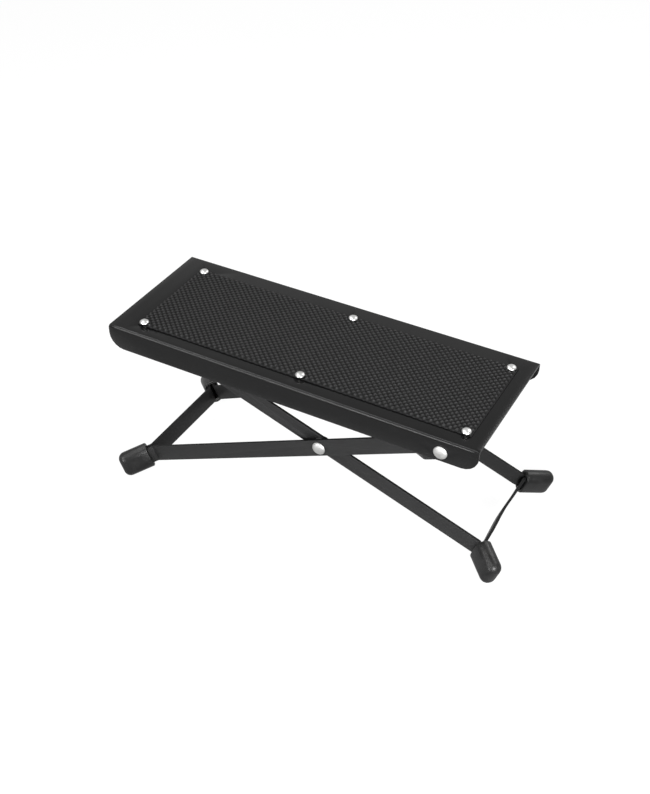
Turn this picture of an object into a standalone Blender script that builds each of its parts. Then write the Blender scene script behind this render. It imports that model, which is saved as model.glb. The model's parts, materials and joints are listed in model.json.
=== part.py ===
"""Folding guitar footrest.

A folded sheet steel platform with a rubber tread mat stands on two U-shaped frames bent from
flat steel strip.  The hinged frame is riveted inside the platform's flanges at one end.  The
locking frame crosses it, and a rod between its upper ends lies under a notched rack below the
platform, where each notch gives one height.  Rubber caps sit on ears bent at the frames' corners.

Metres, +Z up.  X runs along the platform, Y across it.  The part stands on Z = 0 in its lowest
setting, and its origin is the middle of the floor under it.
"""
import math

import bmesh
import bpy
from mathutils import Matrix, Vector

# Clearances and shared values
SEAT_GAP = 0.0003            # between two pieces that lie on each other
HOLE_CLEARANCE = 0.0003      # between a shank and the wall of its hole
CUT_OVERRUN = 0.002          # how far a cutter reaches past what it cuts

# Platform: one sheet, its long sides turned down
PLATE_LENGTH = 0.300
PLATE_WIDTH = 0.114
PLATE_SHEET = 0.0015
FLANGE_DEPTH = 0.0186
PLATE_BEND_RADIUS = 0.0022
FLANGE_CORNER_RADIUS = 0.012

# Tread mat, and how much of the platform it leaves bare
MAT_THICKNESS = 0.002
MAT_OPEN_END_MARGIN = 0.0188
MAT_HINGED_END_MARGIN = 0.0109
MAT_NEAR_MARGIN = 0.0115
MAT_FAR_MARGIN = 0.0154
MAT_CORNER_RADIUS = 0.0018
MAT_EDGE_ROUNDING = 0.0005

# Mat rivets, placed from the mat's edges and its middle
MAT_RIVET_OPEN_END_INSET = 0.0046
MAT_RIVET_HINGED_END_INSET = 0.0043
MAT_RIVET_MIDDLE_SHIFT = 0.0033
MAT_RIVET_NEAR_INSET = 0.0021
MAT_RIVET_FAR_INSET = 0.0034
MAT_RIVET_HEAD_RADIUS = 0.0035
MAT_RIVET_HEAD_HEIGHT = 0.0019
MAT_RIVET_SHANK_RADIUS = 0.0015
MAT_RIVET_TAIL_RADIUS = 0.0024
MAT_RIVET_TAIL_HEIGHT = 0.0009

# Strip that both leg frames are bent from
STRIP_WIDTH = 0.0135
STRIP_THICKNESS = 0.002
STRIP_BEND_RADIUS = 0.003

# Linkage: where the platform carries it, and how it stands in the lowest notch
AXIS_DEPTH = 0.0112          # hinge axis below the platform's top
HINGE_INSET = 0.0272         # hinge axis from the platform's hinged end
LOWEST_NOTCH_INSET = 0.0472  # lowest notch from the platform's open end
HINGED_ANGLE = math.radians(24.466)
LOCKING_ANGLE = math.radians(19.222)

# Frames: how far their cross strips pass the platform's ends when folded flat
HINGED_FOLDED_OVERHANG = 0.0044
LOCKING_FOLDED_OVERHANG = 0.0022

# Joggle that brings the hinged frame's arms out to the flanges
JOGGLE_STEP = 0.0081
JOGGLE_END_LENGTH = 0.0158   # flat end beside the hinge
JOGGLE_RAMP_LENGTH = 0.0105
JOGGLE_BEND_RADIUS = 0.004

# Ears at the frames' corners and the caps on them
EAR_HALF_SPACING = 0.0022
EAR_TURN = math.radians(42)
CAP_LENGTH = 0.025
CAP_WIDTH = 0.0122
CAP_HEIGHT = 0.021
CAP_END_WALL = 0.003
HINGED_CAP_MOUTH = 0.0022    # how far from the frame's corner a cap starts
LOCKING_CAP_MOUTH = -0.0008
CAP_EDGE_LAND = 0.0004       # flat left between the rounded edges
CAP_END_LAND = 0.0003
CAP_MOUTH_ROUNDING = 0.0008
CAP_POCKET_CORNER_RADIUS = 0.0006
CAP_FLOOR_FLAT_DEPTH = 0.0006

# Hinge and scissor rivets
PIVOT_HEAD_RADIUS = 0.0052
PIVOT_HEAD_HEIGHT = 0.002
PIVOT_SHANK_RADIUS = 0.003
PIVOT_TAIL_RADIUS = 0.0046
PIVOT_TAIL_HEIGHT = 0.0015
WASHER_RADIUS = 0.0058
WASHER_THICKNESS = 0.001
SPACER_RADIUS = 0.0063
SPACER_THICKNESS = 0.002
HEAD_RIM_SHARE = 0.2

# Locking rod and its rack
ROD_RADIUS = 0.003
ROD_SPIGOT_RADIUS = 0.0022
ROD_HEAD_RADIUS = 0.0037
ROD_HEAD_THICKNESS = 0.0012
ROD_RUN_CLEARANCE = 0.001    # between the rod at rest and the tips of the rack's teeth
RACK_WIDTH = 0.024
RACK_SHEET = 0.0015
RACK_BEND_RADIUS = 0.002
RACK_CORNER_RADIUS = 0.0018
RACK_END_MARGIN = 0.0095     # past the first and last notch
NOTCH_COUNT = 4
NOTCH_PITCH = 0.0085
NOTCH_ROOF_LAND = 0.0005     # web left between a notch and the rack's sheet
NOTCH_RAMP_TURN = math.radians(45)
RACK_RIVET_MARGIN = 0.0065
RACK_RIVET_SHANK_RADIUS = 0.0018
RACK_RIVET_HEAD_RADIUS = 0.0032
RACK_RIVET_HEAD_DEPTH = 0.0011
RACK_RIVET_TAIL_RADIUS = 0.003
RACK_RIVET_TAIL_HEIGHT = 0.001

# Fineness of the facets
ROUND_SIDES = 24
SMALL_ROUND_SIDES = 20
DOME_STEPS = 5
BEND_STEPS = 5
CORNER_STEPS = 5
TIP_STEPS = 7
STANCE_ROUNDS = 6
SMOOTH_ANGLE = math.radians(35)

# Places worked out from the sizes above
SIDES = (("near", -1), ("far", 1))
UP = Vector((0, 0, 1))
SIDEWAYS_TURN = math.radians(90)
STRIP_HALF = STRIP_THICKNESS / 2
FLANGE_INNER_Y = PLATE_WIDTH / 2 - PLATE_SHEET
HINGE_ARM_Y = FLANGE_INNER_Y - SEAT_GAP - STRIP_HALF
HINGED_ARM_Y = HINGE_ARM_Y - JOGGLE_STEP
LOCKING_ARM_Y = HINGED_ARM_Y - STRIP_THICKNESS - SPACER_THICKNESS - 2 * SEAT_GAP
HINGE_X = PLATE_LENGTH - HINGE_INSET
HINGE_TO_LOWEST_NOTCH = HINGE_X - LOWEST_NOTCH_INSET
LINK_SCALE = HINGE_TO_LOWEST_NOTCH / math.sin(HINGED_ANGLE + LOCKING_ANGLE)
HINGE_TO_SCISSOR = LINK_SCALE * math.sin(LOCKING_ANGLE)
SCISSOR_TO_ROD = LINK_SCALE * math.sin(HINGED_ANGLE)
HINGED_FRAME_REACH = HINGE_X + HINGED_FOLDED_OVERHANG - HINGE_TO_SCISSOR
LOCKING_FRAME_REACH = HINGE_TO_SCISSOR + HINGE_INSET + LOCKING_FOLDED_OVERHANG
MAT_LENGTH = PLATE_LENGTH - MAT_OPEN_END_MARGIN - MAT_HINGED_END_MARGIN
MAT_WIDTH = PLATE_WIDTH - MAT_NEAR_MARGIN - MAT_FAR_MARGIN
MAT_MIDDLE_X = MAT_OPEN_END_MARGIN + MAT_LENGTH / 2
MAT_MIDDLE_Y = (MAT_NEAR_MARGIN - MAT_FAR_MARGIN) / 2
MAT_TOP = SEAT_GAP + MAT_THICKNESS
RACK_TOP = -PLATE_SHEET - SEAT_GAP
TOOTH_TIP_Z = -AXIS_DEPTH + ROD_RADIUS + ROD_RUN_CLEARANCE
NOTCH_DEPTH = RACK_TOP - RACK_SHEET - NOTCH_ROOF_LAND - TOOTH_TIP_Z
RACK_LENGTH = (NOTCH_COUNT - 1) * NOTCH_PITCH + 2 * RACK_END_MARGIN
RACK_START_X = LOWEST_NOTCH_INSET - RACK_END_MARGIN
CAP_EDGE_RADIUS = (CAP_WIDTH - CAP_EDGE_LAND) / 2
CAP_END_RADIUS = CAP_EDGE_RADIUS - CAP_END_LAND
CAP_POCKET_DEPTH = CAP_LENGTH - CAP_END_WALL
EAR_REACH = CAP_POCKET_DEPTH - SEAT_GAP - STRIP_HALF


def clear_scene():
    """Remove what a new file holds."""
    for thing in list(bpy.data.objects):
        bpy.data.objects.remove(thing, do_unlink=True)


def finish_material(name, colour, roughness, metallic=0.0):
    """A Principled material in one plain finish."""
    material = bpy.data.materials.new(name)
    material.use_nodes = True
    shader = material.node_tree.nodes["Principled BSDF"]
    shader.inputs["Base Color"].default_value = (*colour, 1.0)
    shader.inputs["Roughness"].default_value = roughness
    shader.inputs["Metallic"].default_value = metallic
    material.diffuse_color = (*colour, 1.0)
    return material


def axis_empty(name, parent=None, location=(0, 0, 0), turn_y=0.0):
    """An empty that stands on a joint's axis and carries the pieces that turn there."""
    empty = bpy.data.objects.new(name, None)
    bpy.context.collection.objects.link(empty)
    empty.parent = parent
    empty.location = location
    empty.rotation_euler = (0, turn_y, 0)
    return empty


def solid(name, bm, material, parent, location=(0, 0, 0), turn=(0, 0, 0)):
    """Turn a closed bmesh into a named piece, its faces pointing out."""
    bmesh.ops.recalc_face_normals(bm, faces=bm.faces)
    if bm.calc_volume(signed=True) < 0:
        bmesh.ops.reverse_faces(bm, faces=bm.faces)
    mesh = bpy.data.meshes.new(name)
    bm.to_mesh(mesh)
    bm.free()
    mesh.shade_smooth()
    mesh.set_sharp_from_angle(angle=SMOOTH_ANGLE)
    mesh.materials.append(material)
    piece = bpy.data.objects.new(name, mesh)
    bpy.context.collection.objects.link(piece)
    piece.parent = parent
    piece.location = location
    piece.rotation_euler = turn
    return piece


def cut_with(target, name, bm, parent, location=(0, 0, 0)):
    """Cut a piece with a shape that stays in the file as a wire cutter."""
    cutter = solid(name, bm, target.data.materials[0], parent, location)
    cutter.hide_render = True
    cutter.display_type = "WIRE"
    boolean = target.modifiers.new(name, "BOOLEAN")
    boolean.operation = "DIFFERENCE"
    boolean.solver = "EXACT"
    boolean.object = cutter
    return cutter


def bridge(bm, first, second, closed=True):
    """Faces between two rows of the same number of vertices."""
    count = len(first)
    for index in range(count if closed else count - 1):
        following = (index + 1) % count
        corners = (first[index], first[following], second[following], second[index])
        distinct = list(dict.fromkeys(corners))
        if len(distinct) > 2:
            bm.faces.new(distinct)


def lathe(bm, profile, sides, placing=Matrix()):
    """Revolve (radius, height) points round Z.  A profile that leaves the axis is closed on itself."""
    rows = []
    for radius, height in profile:
        if radius == 0:
            rows.append([bm.verts.new(placing @ Vector((0, 0, height)))] * sides)
            continue
        row = []
        for index in range(sides):
            angle = 2 * math.pi * index / sides
            point = Vector((radius * math.cos(angle), radius * math.sin(angle), height))
            row.append(bm.verts.new(placing @ point))
        rows.append(row)
    for first, second in zip(rows, rows[1:]):
        bridge(bm, first, second)
    if profile[0][0] > 0:
        bridge(bm, rows[-1], rows[0])
    return bm


def cylinder_profile(radius, low, high):
    """Profile of a plain closed cylinder."""
    return [(0, low), (radius, low), (radius, high), (0, high)]


def washer(radius, hole_radius, thickness):
    """A flat ring, its middle plane at zero."""
    half = thickness / 2
    profile = [(hole_radius, -half), (radius, -half), (radius, half), (hole_radius, half)]
    return lathe(bmesh.new(), profile, ROUND_SIDES)


def dome_rivet(head_radius, head_height, shank_radius, grip, tail_radius, tail_height, sides):
    """A rivet along Z that grips from zero, under its domed head, down to minus grip."""
    seat = SEAT_GAP
    clinch = -grip - SEAT_GAP
    rim = head_height * HEAD_RIM_SHARE
    tail_rounding = tail_height / 2
    profile = [
        (0, clinch - tail_height),
        (tail_radius - tail_rounding, clinch - tail_height),
        (tail_radius, clinch - tail_rounding),
        (tail_radius, clinch),
        (shank_radius, clinch),
        (shank_radius, seat),
        (head_radius, seat),
    ]
    for step in range(DOME_STEPS):
        angle = math.radians(90) * step / DOME_STEPS
        height = seat + rim + (head_height - rim) * math.sin(angle)
        profile.append((head_radius * math.cos(angle), height))
    profile.append((0, seat + head_height))
    return lathe(bmesh.new(), profile, sides)


def quarter(steps):
    """Sine and cosine at even steps through a quarter turn."""
    for step in range(steps + 1):
        angle = math.radians(90) * step / steps
        yield math.sin(angle), math.cos(angle)


def folded_channel(length, width, depth, sheet, bend_radius, corner_radius):
    """A sheet with both long sides turned down, their lower corners rounded.

    It runs from x = 0 to its length, centred across y, with its top at z = 0.
    """
    def half_section(offset):
        radius = bend_radius - offset
        side = width / 2 - offset
        points = [(side, -depth)]
        for sine, cosine in quarter(BEND_STEPS):
            y = width / 2 - bend_radius + radius * cosine
            points.append((y, -bend_radius + radius * sine))
        return points

    def section(offset):
        right = half_section(offset)
        left = [(-y, z) for y, z in reversed(right)]
        return right + left

    ends = []
    for sine, cosine in quarter(CORNER_STEPS):
        ends.append((corner_radius * (1 - cosine), corner_radius * (1 - sine)))
    stations = ends + [(length - x, lift) for x, lift in reversed(ends)]

    bm = bmesh.new()
    rows = []
    for x, lift in stations:
        row = []
        for offset in (0, sheet):
            points = section(offset)
            last = len(points) - 1
            if offset:
                points = points[::-1]
            for index, (y, z) in enumerate(points):
                rise = lift if index in (0, last) else 0
                row.append(bm.verts.new((x, y, z + rise)))
        rows.append(row)
    for first, second in zip(rows, rows[1:]):
        bridge(bm, first, second)
    for row in (rows[0], rows[-1]):
        half = len(row) // 2
        outer, inner = row[:half], row[half:][::-1]
        bridge(bm, outer, inner, closed=False)
    return bm


def rounded_rectangle(half_width, half_height, radius):
    """Points round a rectangle with rounded corners, anticlockwise."""
    points = []
    for turn in range(4):
        sign_y = 1 if turn in (0, 1) else -1
        sign_x = 1 if turn in (0, 3) else -1
        centre = Vector((sign_x * (half_width - radius), sign_y * (half_height - radius)))
        for step in range(CORNER_STEPS + 1):
            angle = math.radians(90) * (turn + step / CORNER_STEPS)
            points.append(centre + radius * Vector((math.cos(angle), math.sin(angle))))
    return points


def bent_path(corners):
    """Points and side normals along a line of (x, y, radius) corners, each rounded by its radius."""
    points = [Vector(corner[:2]) for corner in corners]
    stations = []
    for index, point in enumerate(points):
        before = (point - points[index - 1]).normalized() if index else None
        after = (points[index + 1] - point).normalized() if index + 1 < len(points) else None
        if before is None or after is None:
            heading = after or before
            stations.append((point, Vector((-heading.y, heading.x))))
            continue
        radius = corners[index][2]
        turn = before.angle_signed(after)
        side = -1 if turn > 0 else 1
        tangent = radius * math.tan(abs(turn) / 2)
        start_normal = Vector((-before.y, before.x))
        centre = point - before * tangent + start_normal * (radius * side)
        for step in range(BEND_STEPS + 1):
            spin = Matrix.Rotation(-turn * step / BEND_STEPS, 2)
            normal = spin @ start_normal
            stations.append((centre - normal * (radius * side), normal))
    return stations


def frame_corners(arm_y, reach, cap_mouth, tip):
    """Corners of the middle line of one U frame, from the near arm's tip to the far arm's.

    x runs from the scissor axis towards the feet, and tip is the list of corners before the ear.
    """
    along = Vector((math.cos(EAR_TURN), -math.sin(EAR_TURN)))
    across = Vector((math.sin(EAR_TURN), math.cos(EAR_TURN)))
    corner = Vector((reach, -arm_y))
    ear_side = across * EAR_HALF_SPACING
    ear_end = corner + along * (cap_mouth + EAR_REACH)
    leave_x = reach - EAR_HALF_SPACING / math.sin(EAR_TURN)
    return_y = -arm_y + EAR_HALF_SPACING / math.cos(EAR_TURN)
    near_half = list(tip)
    near_half.append((leave_x, -arm_y, STRIP_BEND_RADIUS))
    near_half.append((*(ear_end - ear_side), EAR_HALF_SPACING))
    near_half.append((*(ear_end + ear_side), EAR_HALF_SPACING))
    near_half.append((reach, return_y, STRIP_BEND_RADIUS))
    far_half = [(x, -y, radius) for x, y, radius in reversed(near_half)]
    return near_half + far_half


def strip_frame(corners, pivot_x, foot_sign):
    """A flat strip on edge, bent along the corners, its two tips rounded about their pivot."""
    stations = bent_path(corners)
    half_width = STRIP_WIDTH / 2
    rows = []
    tips = []
    for sine, cosine in quarter(TIP_STEPS):
        tips.append((pivot_x - half_width * cosine, half_width * sine))
    bm = bmesh.new()

    def add_row(point, normal, height):
        row = []
        for offset, level in ((STRIP_HALF, -height), (STRIP_HALF, height)):
            place = point + normal * offset
            row.append((foot_sign * place.x, place.y, level))
        for offset, level in ((-STRIP_HALF, height), (-STRIP_HALF, -height)):
            place = point + normal * offset
            row.append((foot_sign * place.x, place.y, level))
        if height == 0:
            outer = bm.verts.new(row[0])
            inner = bm.verts.new(row[2])
            rows.append([outer, outer, inner, inner])
        else:
            rows.append([bm.verts.new(place) for place in row])

    first_point, first_normal = stations[0]
    last_point, last_normal = stations[-1]
    for x, height in tips:
        add_row(Vector((x, first_point.y)), first_normal, height)
    for point, normal in stations[1:-1]:
        add_row(point, normal, half_width)
    for x, height in reversed(tips):
        add_row(Vector((x, last_point.y)), last_normal, height)
    for first, second in zip(rows, rows[1:]):
        bridge(bm, first, second)
    return bm


def cap_rings():
    """Rings of points of one foot cap, from its mouth to its end, along +x."""
    half = CAP_LENGTH / 2
    levels = [(-half, CAP_MOUTH_ROUNDING), (CAP_MOUTH_ROUNDING - half, 0)]
    for sine, cosine in quarter(CORNER_STEPS):
        levels.append((half - CAP_END_RADIUS * (1 - sine), CAP_END_RADIUS * (1 - cosine)))
    rings = []
    for x, inset in levels:
        outline = rounded_rectangle(CAP_WIDTH / 2 - inset, CAP_HEIGHT / 2 - inset, CAP_EDGE_RADIUS - inset)
        rings.append([Vector((x, point.x, point.y)) for point in outline])
    return rings


def cap_solid(down):
    """A foot cap with the pocket for its ear, and a small flat where it meets the floor."""
    bm = bmesh.new()
    rings = cap_rings()
    rows = [[bm.verts.new(point) for point in ring] for ring in rings]
    for first, second in zip(rows, rows[1:]):
        bridge(bm, first, second)
    bm.faces.new(rows[-1])
    pocket_half_width = EAR_HALF_SPACING + STRIP_HALF + SEAT_GAP
    pocket_half_height = STRIP_WIDTH / 2 + SEAT_GAP
    pocket_end = CAP_POCKET_DEPTH - CAP_LENGTH / 2
    outline = rounded_rectangle(pocket_half_width, pocket_half_height, CAP_POCKET_CORNER_RADIUS)
    mouth = [bm.verts.new((-CAP_LENGTH / 2, point.x, point.y)) for point in outline]
    floor = [bm.verts.new((pocket_end, point.x, point.y)) for point in outline]
    bridge(bm, rows[0], mouth)
    bridge(bm, mouth, floor)
    bm.faces.new(floor)
    bmesh.ops.recalc_face_normals(bm, faces=bm.faces)
    lowest = max(vert.co.dot(down) for vert in bm.verts)
    level = down * (lowest - CAP_FLOOR_FLAT_DEPTH)
    everything = bm.verts[:] + bm.edges[:] + bm.faces[:]
    cut = bmesh.ops.bisect_plane(bm, geom=everything, plane_co=level, plane_no=down, clear_outer=True)
    edges = [item for item in cut["geom_cut"] if isinstance(item, bmesh.types.BMEdge)]
    bmesh.ops.edgeloop_fill(bm, edges=edges)
    return bm


def cap_placing(arm_y, reach, cap_mouth, foot_sign, side):
    """Where a cap sits in its frame: on the diagonal out of the frame's corner."""
    heading = math.atan2(side * math.sin(EAR_TURN), foot_sign * math.cos(EAR_TURN))
    turn = Matrix.Rotation(heading, 4, "Z")
    corner = Matrix.Translation((foot_sign * reach, side * arm_y, 0))
    return corner @ turn @ Matrix.Translation((cap_mouth + CAP_LENGTH / 2, 0, 0))


def stance_tilt():
    """Slope of the floor in the platform's frame, from the lowest points of both frames' caps."""
    hinge = Vector((HINGE_X, 0, -AXIS_DEPTH))
    arm = Vector((math.cos(HINGED_ANGLE), 0, math.sin(HINGED_ANGLE)))
    scissor = Matrix.Translation(hinge - arm * HINGE_TO_SCISSOR)
    points = [point for ring in cap_rings() for point in ring]
    groups = []
    for turn, arm_y, reach, cap_mouth, sign in (
        (-HINGED_ANGLE, HINGED_ARM_Y, HINGED_FRAME_REACH, HINGED_CAP_MOUTH, -1),
        (LOCKING_ANGLE, LOCKING_ARM_Y, LOCKING_FRAME_REACH, LOCKING_CAP_MOUTH, 1),
    ):
        frame = scissor @ Matrix.Rotation(turn, 4, "Y")
        placing = frame @ cap_placing(arm_y, reach, cap_mouth, sign, 1)
        groups.append([placing @ point for point in points])
    tilt = 0.0
    for _ in range(STANCE_ROUNDS):
        down = Vector((math.sin(tilt), 0, -math.cos(tilt)))
        left, right = (max(group, key=down.dot) for group in groups)
        tilt = math.atan2(right.z - left.z, right.x - left.x)
    return tilt


def build_platform(hinge, coat):
    """The folded plate with its hinge, mat rivet and rack rivet holes."""
    bm = folded_channel(
        PLATE_LENGTH, PLATE_WIDTH, FLANGE_DEPTH, PLATE_SHEET, PLATE_BEND_RADIUS, FLANGE_CORNER_RADIUS)
    to_plate = (-HINGE_X, 0, AXIS_DEPTH)
    plate = solid("platform_plate", bm, coat, hinge, to_plate)
    drills = bmesh.new()
    bore = PIVOT_SHANK_RADIUS + HOLE_CLEARANCE
    half = PLATE_WIDTH / 2 + CUT_OVERRUN
    sideways = Matrix.Translation((HINGE_X, 0, -AXIS_DEPTH)) @ Matrix.Rotation(SIDEWAYS_TURN, 4, "X")
    lathe(drills, cylinder_profile(bore, -half, half), ROUND_SIDES, sideways)
    for _, place in mat_rivet_places():
        profile = cylinder_profile(
            MAT_RIVET_SHANK_RADIUS + HOLE_CLEARANCE, -PLATE_SHEET - CUT_OVERRUN, CUT_OVERRUN)
        lathe(drills, profile, SMALL_ROUND_SIDES, Matrix.Translation(place))
    for place in rack_rivet_places():
        hole = RACK_RIVET_SHANK_RADIUS + HOLE_CLEARANCE
        sink = RACK_RIVET_HEAD_RADIUS + HOLE_CLEARANCE
        profile = [
            (0, -PLATE_SHEET - CUT_OVERRUN),
            (hole, -PLATE_SHEET - CUT_OVERRUN),
            (hole, -RACK_RIVET_HEAD_DEPTH),
            (sink, 0),
            (sink, CUT_OVERRUN),
            (0, CUT_OVERRUN),
        ]
        lathe(drills, profile, SMALL_ROUND_SIDES, Matrix.Translation(place))
    cut_with(plate, "platform_plate_holes", drills, hinge, to_plate)


def mat_rivet_places():
    """The six mat rivets, in the plate's own frame."""
    half = MAT_LENGTH / 2
    along = (MAT_RIVET_OPEN_END_INSET - half, MAT_RIVET_MIDDLE_SHIFT, half - MAT_RIVET_HINGED_END_INSET)
    insets = (MAT_RIVET_NEAR_INSET, MAT_RIVET_FAR_INSET)
    return [
        (f"{side_name}_{number}",
         Vector((MAT_MIDDLE_X + x, MAT_MIDDLE_Y + side * (MAT_WIDTH / 2 - inset), 0)))
        for (side_name, side), inset in zip(SIDES, insets)
        for number, x in enumerate(along, start=1)
    ]


def build_mat(hinge, rubber):
    """The tread mat with a hole for each of its rivets."""
    bm = bmesh.new()
    rows = []
    for height, inset in (
        (SEAT_GAP, 0),
        (MAT_TOP - MAT_EDGE_ROUNDING, 0),
        (MAT_TOP, MAT_EDGE_ROUNDING),
    ):
        outline = rounded_rectangle(
            MAT_LENGTH / 2 - inset, MAT_WIDTH / 2 - inset, MAT_CORNER_RADIUS - inset)
        rows.append([bm.verts.new((point.x, point.y, height)) for point in outline])
    for first, second in zip(rows, rows[1:]):
        bridge(bm, first, second)
    bm.faces.new(rows[0])
    bm.faces.new(rows[-1])
    middle = (MAT_MIDDLE_X - HINGE_X, MAT_MIDDLE_Y, AXIS_DEPTH)
    mat = solid("tread_mat", bm, rubber, hinge, middle)
    drills = bmesh.new()
    for _, place in mat_rivet_places():
        profile = cylinder_profile(
            MAT_RIVET_SHANK_RADIUS + HOLE_CLEARANCE, -CUT_OVERRUN, MAT_TOP + CUT_OVERRUN)
        lathe(drills, profile, SMALL_ROUND_SIDES, Matrix.Translation(place))
    cut_with(mat, "tread_mat_holes", drills, hinge, (-HINGE_X, 0, AXIS_DEPTH))


def build_mat_rivets(hinge, zinc):
    """Six domed rivets through the mat and the plate."""
    grip = PLATE_SHEET + MAT_TOP
    for name, place in mat_rivet_places():
        bm = dome_rivet(
            MAT_RIVET_HEAD_RADIUS, MAT_RIVET_HEAD_HEIGHT, MAT_RIVET_SHANK_RADIUS, grip,
            MAT_RIVET_TAIL_RADIUS, MAT_RIVET_TAIL_HEIGHT, SMALL_ROUND_SIDES)
        head_seat = place + Vector((-HINGE_X, 0, AXIS_DEPTH + MAT_TOP))
        solid(f"mat_rivet_{name}", bm, zinc, hinge, head_seat)


def rack_rivet_places():
    """The two flush rivets that hold the rack, in the plate's own frame."""
    return [
        Vector((RACK_START_X + RACK_RIVET_MARGIN, 0, 0)),
        Vector((RACK_START_X + RACK_LENGTH - RACK_RIVET_MARGIN, 0, 0)),
    ]


def notch_outline(x):
    """Section of one notch: a round seat, a steep wall towards the open end, a ramp the other way."""
    radius = ROD_RADIUS + HOLE_CLEARANCE
    centre_z = TOOTH_TIP_Z + NOTCH_DEPTH - radius
    below = TOOTH_TIP_Z - CUT_OVERRUN
    points = [(x - radius, below)]
    sweep = math.pi - NOTCH_RAMP_TURN
    for step in range(2 * BEND_STEPS + 1):
        angle = math.pi - sweep * step / (2 * BEND_STEPS)
        points.append((x + radius * math.cos(angle), centre_z + radius * math.sin(angle)))
    ramp_x, ramp_z = points[-1]
    points.append((ramp_x + (ramp_z - below) * math.tan(NOTCH_RAMP_TURN), below))
    return points


def build_rack(hinge, coat):
    """The notched channel under the platform, which the locking rod works against."""
    depth = RACK_TOP - TOOTH_TIP_Z
    bm = folded_channel(
        RACK_LENGTH, RACK_WIDTH, depth, RACK_SHEET, RACK_BEND_RADIUS, RACK_CORNER_RADIUS)
    place = (RACK_START_X - HINGE_X, 0, AXIS_DEPTH + RACK_TOP)
    rack = solid("notched_rack", bm, coat, hinge, place)
    tools = bmesh.new()
    half = RACK_WIDTH / 2 + CUT_OVERRUN
    for index in range(NOTCH_COUNT):
        outline = notch_outline(LOWEST_NOTCH_INSET + index * NOTCH_PITCH)
        rows = [[tools.verts.new((x, y, z)) for x, z in outline] for y in (-half, half)]
        bridge(tools, rows[0], rows[1])
        tools.faces.new(rows[0])
        tools.faces.new(rows[1])
    for rivet in rack_rivet_places():
        low = RACK_TOP - RACK_SHEET - CUT_OVERRUN
        profile = cylinder_profile(RACK_RIVET_SHANK_RADIUS + HOLE_CLEARANCE, low, RACK_TOP + CUT_OVERRUN)
        lathe(tools, profile, SMALL_ROUND_SIDES, Matrix.Translation(rivet))
    cut_with(rack, "notched_rack_cuts", tools, hinge, (-HINGE_X, 0, AXIS_DEPTH))


def build_rack_rivets(hinge, zinc):
    """Countersunk rivets, flush under the mat, that hold the rack to the plate."""
    clinch = RACK_TOP - RACK_SHEET - SEAT_GAP
    head_low = -RACK_RIVET_HEAD_DEPTH
    profile = [
        (0, clinch - RACK_RIVET_TAIL_HEIGHT),
        (RACK_RIVET_TAIL_RADIUS, clinch - RACK_RIVET_TAIL_HEIGHT),
        (RACK_RIVET_TAIL_RADIUS, clinch),
        (RACK_RIVET_SHANK_RADIUS, clinch),
        (RACK_RIVET_SHANK_RADIUS, head_low),
        (RACK_RIVET_HEAD_RADIUS, 0),
        (0, 0),
    ]
    for name, place in zip(("left", "right"), rack_rivet_places()):
        bm = lathe(bmesh.new(), profile, SMALL_ROUND_SIDES)
        location = place + Vector((-HINGE_X, 0, AXIS_DEPTH))
        solid(f"rack_rivet_{name}", bm, zinc, hinge, location)


def sideways_pieces(name, make, y, parent, material, x=0.0):
    """Two copies of a turned piece, its head facing out on the near and on the far side."""
    for side_name, side in SIDES:
        turn = (-side * SIDEWAYS_TURN, 0, 0)
        solid(f"{name}_{side_name}", make(), material, parent, (x, side * y, 0), turn)


def pivot_rivet(grip):
    """A large domed rivet for a pivot."""
    return dome_rivet(
        PIVOT_HEAD_RADIUS, PIVOT_HEAD_HEIGHT, PIVOT_SHANK_RADIUS, grip,
        PIVOT_TAIL_RADIUS, PIVOT_TAIL_HEIGHT, ROUND_SIDES)


def build_hinge_rivets(hinge, zinc):
    """Rivets through the flanges and the hinged frame's ends, with a washer inside."""
    washer_y = HINGE_ARM_Y - STRIP_HALF - SEAT_GAP - WASHER_THICKNESS / 2
    grip = PLATE_WIDTH / 2 - (washer_y - WASHER_THICKNESS / 2)
    bore = PIVOT_SHANK_RADIUS + HOLE_CLEARANCE
    sideways_pieces("hinge_rivet", lambda: pivot_rivet(grip), PLATE_WIDTH / 2, hinge, zinc)
    sideways_pieces(
        "hinge_washer", lambda: washer(WASHER_RADIUS, bore, WASHER_THICKNESS), washer_y, hinge, zinc)


def bore_across(frame, name, holes, parent):
    """Holes through both arms of a frame, each given by its x, its radius and its arm's y."""
    drills = bmesh.new()
    for x, radius, arm_y in holes:
        half = arm_y + STRIP_HALF + CUT_OVERRUN
        placing = Matrix.Translation((x, 0, 0)) @ Matrix.Rotation(SIDEWAYS_TURN, 4, "X")
        lathe(drills, cylinder_profile(radius, -half, half), ROUND_SIDES, placing)
    cut_with(frame, name, drills, parent)


def build_hinged_frame(axis, coat):
    """The outer U frame, its arms joggled outwards to lie against the flanges at the hinge."""
    joggle_start = JOGGLE_END_LENGTH - HINGE_TO_SCISSOR
    tip = [
        (-HINGE_TO_SCISSOR, -HINGE_ARM_Y, 0),
        (joggle_start, -HINGE_ARM_Y, JOGGLE_BEND_RADIUS),
        (joggle_start + JOGGLE_RAMP_LENGTH, -HINGED_ARM_Y, JOGGLE_BEND_RADIUS),
    ]
    corners = frame_corners(HINGED_ARM_Y, HINGED_FRAME_REACH, HINGED_CAP_MOUTH, tip)
    frame = solid("hinged_leg_frame", strip_frame(corners, -HINGE_TO_SCISSOR, -1), coat, axis)
    bore = PIVOT_SHANK_RADIUS + HOLE_CLEARANCE
    holes = ((0, bore, HINGED_ARM_Y), (HINGE_TO_SCISSOR, bore, HINGE_ARM_Y))
    bore_across(frame, "hinged_leg_frame_holes", holes, axis)


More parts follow.
